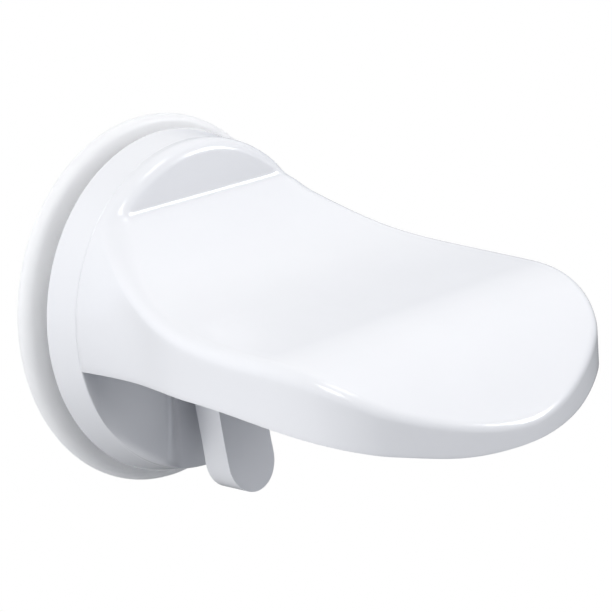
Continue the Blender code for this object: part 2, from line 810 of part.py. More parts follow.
def lever_face():
    """The lever's front view: straight sides a little wider than the arm, and a half-round end."""
    side = LEVER_HALF_WIDTH + 1.0
    outline = [(-side, FAR), (-side, LEVER_END_CENTRE)]
    end_steps = 20
    for step in range(end_steps + 1):
        angle = math.pi + math.pi * step / end_steps
        across = LEVER_HALF_WIDTH * math.cos(angle)
        outline.append((across, LEVER_END_CENTRE + LEVER_HALF_WIDTH * math.sin(angle)))
    return outline + [(side, LEVER_END_CENTRE), (side, FAR)]


def build_lever(material):
    origin = (PIN_X, 0.0, 0.0)
    half = LEVER_HALF_WIDTH
    lever = prism("lever", lever_side(), -half, half, "XZ", material, origin)
    combine(lever, prism("face", lever_face(), 0.0, FAR, "YZ"), "INTERSECT")
    gap_half = 0.5 * STEM_WIDTH + GAP
    slot = block("slot", (0.0, -gap_half, LEVER_SLOT_BOTTOM), (FAR, gap_half, FAR))
    combine(lever, slot, "DIFFERENCE")
    combine(lever, pin_bar("hole", PIN_RADIUS + GAP, FAR), "DIFFERENCE")
    shade(lever)
    return lever


def screw_mesh(name, length, material):
    """A self-tapping screw that points up Z from the underside of its head, with a cross in the head."""
    outline = [
        (-SCREW_HEAD, 0.0),
        (-SCREW_HEAD, SCREW_HEAD_RADIUS - 0.7),
        (-SCREW_HEAD + 0.6, SCREW_HEAD_RADIUS),
        (0.0, SCREW_HEAD_RADIUS),
        (0.0, SCREW_RADIUS),
        (length - 1.6, SCREW_RADIUS),
        (length, 0.0),
    ]
    screw = turned(name, outline, SMALL_SIDES, along="Z", material=material)
    for x, y in ((CROSS_REACH, CROSS_HALF), (CROSS_HALF, CROSS_REACH)):
        low = (-x, -y, -SCREW_HEAD - 1.0)
        high = (x, y, -SCREW_HEAD + 1.0)
        combine(screw, block("cross", low, high), "DIFFERENCE")
    shade(screw)
    return screw


def screw_set(name, length, places, turn, material):
    """Equal screws, one object at each place, turned by an angle from Z towards X."""
    first = screw_mesh(name + "_1", length, material)
    for index, place in enumerate(places, 1):
        screw = first
        if index > 1:
            screw = bpy.data.objects.new(f"{name}_{index}", first.data)
            bpy.context.scene.collection.objects.link(screw)
        screw.rotation_euler = (0.0, turn, 0.0)
        screw.location = Vector(place) * MM


def build_screws(material):
    """The screws: four along X from behind the base, and eight up into the shell from below the cover."""
    head_face = BASE_FRONT - BASE_WALL - GAP
    places = [(head_face, y, z) for y, z in BASE_SCREW_PLACES]
    screw_set("base_screw", BASE_SCREW_LENGTH, places, math.pi / 2.0, material)
    places = [(x, y, cover_bottom_at(x) + COVER_SEAT - GAP) for x, y in COVER_SCREW_PLACES]
    screw_set("cover_screw", COVER_SCREW_LENGTH, places, 0.0, material)


def main():
    clear_scene()
    gloss_white = make_material("gloss_white_plastic", (0.90, 0.91, 0.94), 0.22)
    soft_white = make_material("soft_white_cup", (0.91, 0.91, 0.92), 0.42)
    stud_plastic = make_material("stud_plastic", (0.80, 0.80, 0.78), 0.45)
    steel = make_material("steel", (0.62, 0.62, 0.63), 0.32, 1.0)
    screw_steel = make_material("screw_steel", (0.55, 0.55, 0.56), 0.38, 1.0)
    build_cup(soft_white)
    build_stud(stud_plastic)
    build_base(gloss_white)
    build_cam_plate(steel)
    build_pin(steel)
    build_lever(gloss_white)
    build_foot_shell(gloss_white)
    build_cover(gloss_white)
    build_screws(screw_steel)


main()
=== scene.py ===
"""The looks of a suction foot rest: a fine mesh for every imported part, materials, lights and a camera.

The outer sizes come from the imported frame, and the inner ones are named below. Lengths are in millimetres
in the shape functions, and add_piece turns them to metres. X points out from the wall, and Z points up.
"""

import math

import bmesh
import bpy
from mathutils import Matrix, Vector


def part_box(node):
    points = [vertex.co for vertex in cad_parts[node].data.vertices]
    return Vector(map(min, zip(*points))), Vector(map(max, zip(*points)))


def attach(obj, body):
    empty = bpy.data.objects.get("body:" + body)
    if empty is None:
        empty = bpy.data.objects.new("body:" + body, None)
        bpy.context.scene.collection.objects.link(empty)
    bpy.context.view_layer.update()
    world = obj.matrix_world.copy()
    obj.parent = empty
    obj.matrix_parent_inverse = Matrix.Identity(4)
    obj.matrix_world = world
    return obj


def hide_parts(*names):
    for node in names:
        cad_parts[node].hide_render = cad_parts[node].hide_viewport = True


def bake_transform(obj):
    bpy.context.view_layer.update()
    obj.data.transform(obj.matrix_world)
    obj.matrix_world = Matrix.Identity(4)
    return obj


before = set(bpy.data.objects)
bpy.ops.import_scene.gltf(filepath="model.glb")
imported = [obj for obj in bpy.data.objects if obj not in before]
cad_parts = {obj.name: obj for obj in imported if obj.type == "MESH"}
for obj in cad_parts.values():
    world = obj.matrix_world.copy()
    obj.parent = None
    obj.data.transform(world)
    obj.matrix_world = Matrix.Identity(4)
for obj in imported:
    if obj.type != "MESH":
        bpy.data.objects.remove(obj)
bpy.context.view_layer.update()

MM = 0.001
# Clearance between fitted pieces.
GAP = 0.3
# Past every piece, for cutters.
FAR = 80.0
# Sides of a turned piece: the base and the cup, the pin and its bores, and the screws and their holes.
TURN_SIDES = 192
PIN_SIDES = 48
SMALL_SIDES = 32
# A radius or a half width below this counts as none.
TINY = 1e-6


def size_of(node):
    """(lowest corner, highest corner) of a CAD node in millimetres."""
    low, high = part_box(node)
    return low / MM, high / MM


SHELL_LOW, SHELL_HIGH = size_of("foot_shell")
BASE_HIGH = size_of("base_housing")[1]
CUP_HIGH = size_of("suction_cup")[1]
COVER_LOW = size_of("underside_cover")[0]
LEVER_LOW, LEVER_HIGH = size_of("lever")
PIN_LOW, PIN_HIGH = size_of("lever_pin")
PLATE_LOW, PLATE_HIGH = size_of("cam_plate")
STUD_LOW, STUD_HIGH = size_of("cup_stud")

# The foot shell. A knot is a point, a slope in degrees, and the lengths of its handles before and after.
SHELL_BACK = SHELL_LOW.x
SHELL_TIP = SHELL_HIGH.x
DRUM_RADIUS = SHELL_HIGH.z
DRUM_FRONT = 28.0
STEP_START_Z = 36.2
SHELL_WALL = 3.0
EDGE_RADIUS = 4.6
CREASE_RADIUS = 3.0
SHOULDER_END = 62.0
STEP_KNOTS = (
    (DRUM_FRONT, STEP_START_Z, -41.0, 0.0, 28.5),
    (108.0, 9.1, -4.0, 48.0, 25.0),
    (SHELL_TIP, -18.4, -43.0, 14.5, 0.0),
)
PLAN_KNOTS = (
    (DRUM_FRONT, DRUM_RADIUS, 0.0, 0.0, 32.5),
    (101.0, SHELL_HIGH.y, 0.0, 38.5, 16.0),
    (138.0, 52.2, -49.0, 13.0, 10.5),
    (SHELL_TIP, 0.0, -90.0, 16.5, 0.0),
)
SKIRT_KNOTS = (
    (SHELL_BACK, -8.8, 0.0, 0.0, 25.0),
    (82.0, -7.0, 0.0, 25.0, 20.0),
    (142.0, -18.5, -27.0, 12.0, 5.0),
    (SHELL_TIP, SHELL_LOW.z, -10.0, 5.0, 0.0),
)
CHANNEL_HALF = 14.4
CHANNEL_END = 106.0
RIB = 2.4
RIB_START = 26.7
RIB_SINK = 1.6
SHELL_FOOT_ROUND = 0.35

# The cover and its screws.
COVER_THICKNESS = 2.4
COVER_INSET = 1.6
COVER_EDGE_GAP = 1.1
COVER_SEAT = 1.1
SLOT_CORNER = 5.0
SCREW_RADIUS = 1.5
SCREW_HEAD_RADIUS = 2.9
SCREW_HEAD = 1.8
SCREW_HEAD_RIM = 0.15
SCREW_POINT = 1.6
COVER_SCREW_LENGTH = 9.0
BASE_SCREW_LENGTH = 8.6
THREAD_PITCH = 0.9
THREAD_DEPTH = 0.35
THREAD_START = 0.4
THREAD_END = 2.2
CROSS_HALF_LENGTH = 1.5
CROSS_HALF_WIDTH = 0.36
CROSS_DEPTH = 1.1
CROSS_TAPER = 0.45
# Degrees that each screw is turned past the one before, and the first one's turn.
SCREW_TURN = 37.0
FIRST_SCREW_TURN = 11.0

# The base.
BASE_BACK = 10.1
BASE_FRONT = 21.1
BASE_BACK_RADIUS = BASE_HIGH.z
BASE_FRONT_RADIUS = 53.4
BASE_WALL = 3.0
BASE_HUB_RADIUS = 13.0
BASE_HUB_BACK = 12.6
BASE_ROUND = 0.5
PRESS_RIB_RADIUS = 41.5
PRESS_RIB_WIDTH = 2.2
CHEEK_HEIGHT = 6.8
CHEEK_TOP = -9.9
CHEEK_INNER = 12.9
CHEEK_ROUND = 12.6
CHEEK_FULL = 22.0
CHEEK_FADE = 48.0
CHEEK_OUTER = 48.6
CHEEK_ROOT = 1.0
CHEEK_SINK = 0.06
CHEEK_RIM_GAP = 0.03
CHEEK_LEAN_START = 25.0
CHEEK_LEAN = 0.45
CHEEK_RIM = 2.6

# The cup.
CUP_RADIUS = CUP_HIGH.y
CUP_BACK = 6.6
CUP_HUB_RADIUS = 18.0
CUP_FACE_INNER_RADIUS = 46.0
CUP_HOLLOW_DEPTH = 3.4
CUP_HOLLOW_FLAT = 22.0
CUP_LIP = 2.8
# The cup's front from its lip in to its hub, as (place, radius), with a shallow dip inside the lip.
CUP_FRONT = (
    (CUP_LIP * 1.97, CUP_RADIUS - 1.35 * CUP_LIP),
    (5.35, 54.2),
    (5.15, 52.0),
    (5.3, 49.0),
    (5.9, 46.0),
    (CUP_BACK, PRESS_RIB_RADIUS + 2.0),
    (CUP_BACK, PRESS_RIB_RADIUS - 2.0),
    (CUP_BACK + 0.9, 30.0),
    (CUP_BACK + 1.8, CUP_HUB_RADIUS + 4.0),
    (CUP_HIGH.x, CUP_HUB_RADIUS),
)
STUD_FLANGE_RADIUS = STUD_HIGH.y
STUD_FLANGE_THICKNESS = 3.2
STUD_ROUND = 0.5

# The lever and its pin.
PIN_X = 0.5 * (PIN_LOW.x + PIN_HIGH.x)
PIN_RADIUS = 0.5 * (PIN_HIGH.x - PIN_LOW.x)
PIN_ROUND = 0.35
LEVER_HALF_WIDTH = LEVER_HIGH.y
LEVER_END_CENTRE = LEVER_LOW.z + LEVER_HALF_WIDTH
LEVER_SLOT_BOTTOM = -8.2
LEVER_LOBE_FRONT = 4.8
LEVER_LOBE_DROP = -2.0
LEVER_FOOT = LEVER_END_CENTRE - LEVER_HALF_WIDTH - 1.0
LEVER_ROUND = 0.7
CAM_REACH = 8.0
CAM_RELEASE = 3.0
LEVER_OPEN_ANGLE = 80.0
CAM_FALL = CAM_RELEASE / math.radians(LEVER_OPEN_ANGLE)
LEVER_FRONT_KNOTS = (
    (LEVER_LOBE_FRONT, LEVER_LOBE_DROP, -90.0, 0.0, 20.0),
    (10.7, LEVER_FOOT, -78.0, 20.0, 0.0),
)
LEVER_BACK_KNOTS = (
    (-0.9, LEVER_FOOT, 94.8, 0.0, 30.0),
    (-CAM_REACH, -6.0, 90.0, 6.0, 0.0),
)
STEM_WIDTH = 10.0
STEM_HEIGHT = 9.0

# How finely the shell's skin is divided. The growth draws the stations apart along the step.
DRUM_STATIONS = 26
STEP_STATIONS = 64
STATION_GROWTH = 1.15
NOSE_STATIONS = 26
TOP_STEPS = 16
EDGE_STEPS = 12
WALL_STEPS = 10

# How far the skin's rows bend away from square: at both ends, at the crease, and at the wall's feet.
END_SPREAD = 10.0
FAN_BEFORE = 5.0
FAN_AFTER = 6.0
FEET_BEFORE = 9.0
FEET_AFTER = 34.0

# The camera, with its place in metres and its turns in degrees, and the backdrop.
CAMERA_PLACE = (0.51438, -0.47534, 0.17066)
CAMERA_TURN = 46.747
CAMERA_RISE = 14.285
CAMERA_ROLL = 4.539
CAMERA_LENS = 129.41
FLOOR_Z = -1.0
FLOOR_HALF = 30.0
FLOOR_GLOW = 0.2
FLOOR_TINT = (0.88, 0.92, 1.0, 1.0)
HORIZON_GLOW = 0.58
OVERHEAD_GLOW = 0.8
HORIZON_TINT = (0.86, 0.90, 1.0, 1.0)
OVERHEAD_TINT = (0.98, 0.985, 1.0, 1.0)
WHITE = (1.0, 1.0, 1.0, 1.0)
# The middle of the object, in metres, where every light points.
LIGHT_AIM = (0.07, 0.0, 0.0)


# ---------------------------------------------------------------- shapes


def add_piece(name, points, faces):
    """A mesh from points in millimetres, with every face pointing out."""
    mesh = bpy.data.meshes.new(name)
    mesh.from_pydata([Vector(point) * MM for point in points], [], faces)
    work = bmesh.new()
    work.from_mesh(mesh)
    bmesh.ops.recalc_face_normals(work, faces=work.faces)
    work.to_mesh(mesh)
    work.free()
    obj = bpy.data.objects.new(name, mesh)
    bpy.context.scene.collection.objects.link(obj)
    return obj


def bake(obj):
    """Replaces the object's mesh with the one that its modifiers make."""
    bpy.context.view_layer.update()
    graph = bpy.context.evaluated_depsgraph_get()
    mesh = bpy.data.meshes.new_from_object(obj.evaluated_get(graph))
    obj.modifiers.clear()
    obj.data = mesh


def combine(obj, tool, operation):
    modifier = obj.modifiers.new(operation.lower(), "BOOLEAN")
    modifier.operation = operation
    modifier.solver = "EXACT"
    modifier.object = tool
    bake(obj)
    bpy.data.objects.remove(tool)


def round_edges(obj, radius, limit=50.0, segments=3):
    """Rounds every edge that is sharper than the limit."""
    modifier = obj.modifiers.new("round", "BEVEL")
    modifier.width = radius * MM
    modifier.segments = segments
    modifier.limit_method = "ANGLE"
    modifier.angle_limit = math.radians(limit)
    bake(obj)


def shade(obj, sharp_degrees=40.0, weighted=True):
    """Smooth shading that breaks at sharp edges.

    Weighted normals keep large faces even next to small ones.
    """
    obj.data.shade_smooth()
    obj.data.set_sharp_from_angle(angle=math.radians(sharp_degrees))
    if weighted:
        modifier = obj.modifiers.new("normals", "WEIGHTED_NORMAL")
        modifier.keep_sharp = True
        bake(obj)


def turned(name, outline, sides=TURN_SIDES, centre=(0.0, 0.0, 0.0), along="X"):
    """A solid turned about X, Y or Z through a centre, from an outline of (place along the axis, radius)."""
    points = []
    rings = []
    for place, radius in outline:
        if radius < TINY:
            rings.append([len(points)] * sides)
            points.append((place, 0.0, 0.0))
            continue
        rings.append(list(range(len(points), len(points) + sides)))
        for side in range(sides):
            angle = 2.0 * math.pi * side / sides
            points.append((place, radius * math.cos(angle), radius * math.sin(angle)))
    faces = []
    for ring, following in zip(rings, rings[1:] + rings[:1]):
        for side in range(sides):
            after = (side + 1) % sides
            corners = [ring[side], ring[after], following[after], following[side]]
            kept = [c for i, c in enumerate(corners) if c not in corners[:i]]
            if len(kept) > 2:
                faces.append(kept)
    if along == "Z":
        points = [(z, y, x) for x, y, z in points]
    if along == "Y":
        points = [(y, x, z) for x, y, z in points]
    shift = Vector(centre)
    return add_piece(name, [Vector(point) + shift for point in points], faces)


def rounded_outline(corners, radius, steps=5):
    """An outline for turned() whose corners are rounded, apart from those on the axis."""
    result = []
    count = len(corners)
    for index, corner in enumerate(corners):
        here = Vector(corner)
        if here.y < TINY:
            result.append(tuple(here))
            continue
        to_last = Vector(corners[index - 1]) - here
        to_next = Vector(corners[(index + 1) % count]) - here
        reach = min(radius, 0.45 * to_last.length, 0.45 * to_next.length)
        start = here + reach * to_last.normalized()
        end = here + reach * to_next.normalized()
        for step in range(steps + 1):
            t = step / steps
            result.append(tuple((1 - t) ** 2 * start + 2 * t * (1 - t) * here + t * t * end))
    return result


def between_loops(name, low_loop, high_loop):
    """A closed solid between two loops of the same number of points."""
    count = len(low_loop)
    faces = [list(range(count)), list(range(count, 2 * count))]
    for corner in range(count):
        after = (corner + 1) % count
        faces.append([corner, after, count + after, count + corner])
    return add_piece(name, low_loop + high_loop, faces)


def prism(name, outline, low, high, plane="XZ"):
    """A straight solid over an outline in one plane, from low to high along the third axis."""
    place = {
        "XZ": lambda a, b, c: (a, c, b),
        "XY": lambda a, b, c: (a, b, c),
        "YZ": lambda a, b, c: (c, a, b),
    }[plane]
    low_loop = [place(a, b, low) for a, b in outline]
    high_loop = [place(a, b, high) for a, b in outline]
    return between_loops(name, low_loop, high_loop)


def taper(name, corners, low, high, share):
    """A straight-sided cutter that narrows to a share of its size from low to high."""
    low_loop = [(x, y, low) for x, y in corners]
    high_loop = [(x * share, y * share, high) for x, y in corners]
    return between_loops(name, low_loop, high_loop)


def round_bar(low, high, radius):
    """An outline for turned() of a plain round bar."""
    return [(low, 0.0), (low, radius), (high, radius), (high, 0.0)]


def block(name, low, high):
    """A box from its lowest corner to its highest."""
    outline = [(low[0], low[2]), (high[0], low[2]), (high[0], high[2]), (low[0], high[2])]
    return prism(name, outline, low[1], high[1])


def slab(name, front, back):
    """A closed solid between two grids of points of the same size."""
    rows = len(front)
    columns = len(front[0])
    points = [point for row in front for point in row] + [point for row in back for point in row]
    half = rows * columns

    def at(row, column, side):
        return side * half + row * columns + column

    faces = []
    for row in range(rows - 1):
        for column in range(columns - 1):
            for side in (0, 1):
                corners = ((row, column), (row, column + 1), (row + 1, column + 1), (row + 1, column))
                faces.append([at(r, c, side) for r, c in corners])
    edge = [(0, column) for column in range(columns)]
    edge += [(row, columns - 1) for row in range(1, rows)]
    edge += [(rows - 1, column) for column in range(columns - 2, -1, -1)]
    edge += [(row, 0) for row in range(rows - 2, 0, -1)]
    for first, second in zip(edge, edge[1:] + edge[:1]):
        faces.append([at(*first, 0), at(*second, 0), at(*second, 1), at(*first, 1)])
    return add_piece(name, points, faces)


def smooth_step(value):
    value = min(max(value, 0.0), 1.0)
    return value * value * (3.0 - 2.0 * value)


def curve_through(knots, steps):
    """Points along a chain of cubic curves through knots."""
    points = []
    for first, second in zip(knots[:-1], knots[1:]):
        start = Vector(first[:2])
        end = Vector(second[:2])
        leave = math.radians(first[2])
        arrive = math.radians(second[2])
        out = start + first[4] * Vector((math.cos(leave), math.sin(leave)))
        back = end - second[3] * Vector((math.cos(arrive), math.sin(arrive)))
        for step in range(steps):
            t = step / steps
            u = 1.0 - t
            points.append(u**3 * start + 3 * u * u * t * out + 3 * u * t * t * back + t**3 * end)
    points.append(Vector(knots[-1][:2]))
    return points


def height_at(points, x):
    """The second coordinate of a line of points at a first coordinate, which only grows along it."""
    for first, second in zip(points[:-1], points[1:]):
        if x <= second.x:
            share = (x - first.x) / (second.x - first.x)
            return first.y + share * (second.y - first.y)
    return points[-1].y


STEP_LINE = curve_through(STEP_KNOTS, 96)
SKIRT_LINE = curve_through(SKIRT_KNOTS, 64)
PLAN_LINE = curve_through(PLAN_KNOTS, 72)


# ---------------------------------------------------------------- foot shell


def side_at(x, z, half_width):
    """How far out the shell's side is: round with the drum at the root, and upright past the shoulder."""
    share = 1.0 - smooth_step((x - DRUM_FRONT) / (SHOULDER_END - DRUM_FRONT))
    return half_width * math.sqrt(max(0.0, 1.0 - share * (z / DRUM_RADIUS) ** 2))


def plan_half(x):
    return DRUM_RADIUS if x <= DRUM_FRONT else height_at(PLAN_LINE, x)


class TopLine:
    """The shell's side view: down the drum's face, round the crease, and along the step to the tip."""

    def __init__(self):
        slope = math.radians(STEP_KNOTS[0][2])
        turn = math.pi / 2.0 + slope
        reach = CREASE_RADIUS * math.tan(turn / 2.0)
        centre = Vector((DRUM_FRONT + CREASE_RADIUS, STEP_START_Z + reach))
        self.points = [Vector((DRUM_FRONT, DRUM_RADIUS))]
        arc_steps = 24
        for step in range(arc_steps + 1):
            angle = math.pi + turn * step / arc_steps
            self.points.append(centre + CREASE_RADIUS * Vector((math.cos(angle), math.sin(angle))))
        arc_end = self.points[-1].x
        self.points += [point for point in STEP_LINE if point.x > arc_end + 0.2]
        self.lengths = [0.0]
        for first, second in zip(self.points[:-1], self.points[1:]):
            self.lengths.append(self.lengths[-1] + (second - first).length)
        self.length = self.lengths[-1]

    def at(self, distance):
        """The point at a distance along the line. It goes straight on past either end."""
        index = 0
        while index < len(self.points) - 2 and distance > self.lengths[index + 1]:
            index += 1
        share = (distance - self.lengths[index]) / (self.lengths[index + 1] - self.lengths[index])
        return self.points[index] + share * (self.points[index + 1] - self.points[index])

    def distance_of(self, x):
        """The distance along the line at which the step reaches a given x."""
        index = 0
        while index < len(self.points) - 2 and self.points[index + 1].x < x:
            index += 1
        first, second = self.points[index], self.points[index + 1]
        share = (x - first.x) / (second.x - first.x)
        return self.lengths[index] + share * (self.lengths[index + 1] - self.lengths[index])


TOP = TopLine()


def wall_direction(distance):
    """The way the side wall leaves the top edge: back on the drum, down on the step, a fan between."""
    crease = DRUM_RADIUS - STEP_START_Z
    share = smooth_step((distance - crease + FAN_BEFORE) / (FAN_BEFORE + FAN_AFTER))
    angle = share * math.pi / 2.0
    return Vector((-math.cos(angle), -math.sin(angle)))


def wall_feet(stations):
    """The foot of each station's wall line: straight behind on the drum, straight below on the step.

    Between them the feet run evenly down the back edge, round the skirt's back corner and along its bottom.
    """
    crease = DRUM_RADIUS - STEP_START_Z
    start, end = crease - FEET_BEFORE, crease + FEET_AFTER
    corner = SKIRT_LINE[0]
    down = TOP.at(start).y - corner.y
    along = TOP.at(end).x - corner.x
    feet = []
    for place, _ in stations:
        top = TOP.at(place)
        walked = (down + along) * (place - start) / (end - start)
        if place <= start:
            feet.append(Vector((SHELL_BACK, top.y)))
        elif place >= end:
            feet.append(Vector((top.x, height_at(SKIRT_LINE, top.x))))
        elif walked <= down:
            feet.append(Vector((SHELL_BACK, corner.y + down - walked)))
        else:
            x = corner.x + walked - down
            feet.append(Vector((x, height_at(SKIRT_LINE, x))))
    nearest = min(range(len(feet)), key=lambda index: (feet[index] - corner).length)
    feet[nearest] = corner
    return feet


def shell_stations():
    """Corners of the top outline as (distance along the top line, half width)."""
    stations = []
    crease_angle = math.asin(STEP_START_Z / DRUM_RADIUS)
    for step in range(DRUM_STATIONS):
        angle = math.pi / 2.0 + (crease_angle - math.pi / 2.0) * step / DRUM_STATIONS
        z = DRUM_RADIUS * math.sin(angle)
        stations.append((DRUM_RADIUS - z, DRUM_RADIUS * math.cos(angle)))
    crease = DRUM_RADIUS - STEP_START_Z
    run = TOP.distance_of(PLAN_KNOTS[1][0]) - crease
    for step in range(STEP_STATIONS):
        distance = crease + run * (step / STEP_STATIONS) ** STATION_GROWTH
        point = TOP.at(distance)
        stations.append((distance, side_at(point.x, point.y, plan_half(point.x))))
    for point in curve_through(PLAN_KNOTS[1:], NOSE_STATIONS):
        stations.append((TOP.distance_of(point.x), point.y))
    return stations


def shell_row(stations, index, foot):
    """One row of the skin, from its middle line over the rounded edge and down to the wall's foot."""
    distance, half = stations[index]
    before = stations[max(index - 1, 0)]
    after = stations[min(index + 1, len(stations) - 1)]
    along = Vector((after[0] - before[0], after[1] - before[1])).normalized()
    inward = Vector((along.y, -along.x))
    if index == 0:
        inward = Vector((1.0, 0.0))
    if index == len(stations) - 1:
        inward = Vector((-1.0, 0.0))

    def on_top(place, width):
        point = TOP.at(place)
        return Vector((point.x, width, point.y))

    direction = wall_direction(distance)
    run = TOP.at(distance + 0.5) - TOP.at(distance - 0.5)
    run = inward.x * run.normalized()
    outward = Vector((-run.x, -inward.y, -run.y))
    turn = outward.angle(Vector((direction.x, 0.0, direction.y)))
    reach = EDGE_RADIUS * math.tan(turn / 2.0)
    edge_place = distance + reach * inward.x
    edge_half = max(half + reach * inward.y, 0.0)
    middle = edge_place + EDGE_RADIUS * (1.0 - smooth_step((edge_place - EDGE_RADIUS) / END_SPREAD))
    middle -= EDGE_RADIUS * smooth_step((edge_place - TOP.length) / (2.0 * END_SPREAD) + 1.0)
    row = []
    for step in range(TOP_STEPS):
        share = step / TOP_STEPS
        row.append(on_top(middle + (edge_place - middle) * share, edge_half * share))

    corner = TOP.at(distance)

    def on_wall(point):
        if half < TINY:
            return Vector((point.x, 0.0, point.y))
        width = plan_half(point.x) if point.x < SHOULDER_END else half
        return Vector((point.x, side_at(point.x, point.y, width), point.y))

    top_tangent = on_top(edge_place, edge_half)
    sharp = Vector((corner.x, half, corner.y))
    wall_start = corner + reach * direction
    wall_tangent = on_wall(wall_start)
    weight = math.cos(turn / 2.0)
    for step in range(EDGE_STEPS):
        t = step / EDGE_STEPS
        parts = ((1.0 - t) ** 2, 2.0 * t * (1.0 - t) * weight, t * t)
        row.append((parts[0] * top_tangent + parts[1] * sharp + parts[2] * wall_tangent) / sum(parts))
    for step in range(WALL_STEPS + 1):
        row.append(on_wall(wall_start.lerp(foot, step / WALL_STEPS)))
    return row


def rib_outline(start, end, count):
    """Side view of a rib that hangs from the step and ends just above the cover."""
    xs = [start + (end - start) * step / count for step in range(count + 1)]
    top = [(x, TOP.at(TOP.distance_of(max(x, DRUM_FRONT + 1.0))).y - RIB_SINK) for x in xs]
    bottom = [(x, cover_bottom_at(x) + COVER_THICKNESS + 2.0 * GAP) for x in reversed(xs)]
    return top + bottom


def build_shell(material):
    stations = shell_stations()
    feet = wall_feet(stations)
    rows = [shell_row(stations, index, feet[index]) for index in range(len(stations))]
    columns = len(rows[0])
    points = [point for row in rows for point in row]
    faces = []
    for row in range(len(rows) - 1):
        for column in range(columns - 1):
            first = row * columns + column
            faces.append([first, first + columns, first + columns + 1, first + 1])
    shell = add_piece("moulded_foot_shell", points, faces)
    mirror = shell.modifiers.new("mirror", "MIRROR")
    mirror.use_axis = (False, True, False)
    mirror.use_mirror_merge = True
    mirror.merge_threshold = 0.00002
    wall = shell.modifiers.new("wall", "SOLIDIFY")
    wall.thickness = SHELL_WALL * MM
    wall.offset = -1.0
    wall.use_even_offset = True
    bake(shell)
    round_edges(shell, SHELL_FOOT_ROUND, limit=60.0, segments=2)
    long_rib = rib_outline(RIB_START, CHANNEL_END + RIB, 40)
    for side in (-1.0, 1.0):
        inner, outer = sorted((side * CHANNEL_HALF, side * (CHANNEL_HALF + RIB)))
        combine(shell, prism("rib", long_rib, inner, outer), "UNION")
    end_half = CHANNEL_HALF + 0.5 * RIB
    end_wall = prism("end_wall", rib_outline(CHANNEL_END, CHANNEL_END + RIB, 2), -end_half, end_half)
    combine(shell, end_wall, "UNION")
    shade(shell, sharp_degrees=45.0, weighted=False)
    shell.data.materials.append(material)
    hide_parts("foot_shell")
    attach(shell, "root")


# ---------------------------------------------------------------- cover and screws


def cover_bottom_at(x):
    return height_at(SKIRT_LINE, x) + COVER_INSET


def cover_line(raise_by):
    """Points along the cover's side view: the skirt's bottom edge, raised."""
    end = SHELL_TIP - SHELL_WALL
    steps = 80
    xs = [COVER_LOW.x + (end - COVER_LOW.x) * step / steps for step in range(steps + 1)]
    return [(x, cover_bottom_at(x) + raise_by) for x in xs]


def inset_plan(inset):
    """The shell's plan outline moved inwards, as a closed outline over both halves."""
    line = [Vector((COVER_LOW.x, DRUM_RADIUS))] + PLAN_LINE
    half = []
    for index, point in enumerate(line):
        along = line[min(index + 1, len(line) - 1)] - line[max(index - 1, 0)]
        if index == len(line) - 1:
            along = Vector((0.0, -1.0))
        normal = Vector((-along.y, along.x)).normalized()
        half.append(point - inset * normal)
    half = [point for index, point in enumerate(half) if index % 2 == 0 or index == len(half) - 1]
    return half + [Vector((point.x, -point.y)) for point in reversed(half[:-1])]


def slot_outline():
    """Plan of the cover's slot for the lever: open at the base, with two rounded corners at its far end."""
    outline = [(COVER_LOW.x - 10.0, CHANNEL_HALF)]
    corner_steps = 14
    for step in range(corner_steps + 1):
        angle = math.pi / 2.0 * (1.0 - step / corner_steps)
        x = CHANNEL_END - SLOT_CORNER + SLOT_CORNER * math.cos(angle)
        outline.append((x, CHANNEL_HALF - SLOT_CORNER + SLOT_CORNER * math.sin(angle)))
    return outline + [(x, -y) for x, y in reversed(outline)]


def screw_places(prefix):
    """The name and the box of each CAD node whose name starts with a prefix."""
    names = sorted(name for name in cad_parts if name.startswith(prefix))
    return [(name, *size_of(name)) for name in names]


def build_cover(material):
    strip = cover_line(0.0) + list(reversed(cover_line(COVER_THICKNESS)))
    cover = prism("moulded_underside_cover", strip, -FAR, FAR)
    outline = inset_plan(SHELL_WALL + COVER_EDGE_GAP)
    combine(cover, prism("plan", outline, -FAR, FAR, "XY"), "INTERSECT")
    combine(cover, prism("slot", slot_outline(), -FAR, FAR, "XY"), "DIFFERENCE")
    for _, low, high in screw_places("cover_screw"):
        x, y = 0.5 * (low.x + high.x), 0.5 * (low.y + high.y)
        level = cover_bottom_at(x)
        seat = level + COVER_SEAT
        hole = [
            (level - 5.0, 0.0),
            (level - 5.0, SCREW_HEAD_RADIUS + GAP),
            (seat, SCREW_HEAD_RADIUS + GAP),
            (seat, SCREW_RADIUS + GAP),
            (level + 10.0, SCREW_RADIUS + GAP),
            (level + 10.0, 0.0),
        ]
        combine(cover, turned("hole", hole, SMALL_SIDES, (x, y, 0.0), "Z"), "DIFFERENCE")
    round_edges(cover, 0.3, segments=2)
    shade(cover)
    cover.data.materials.append(material)
    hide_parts("underside_cover")
    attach(cover, "root")


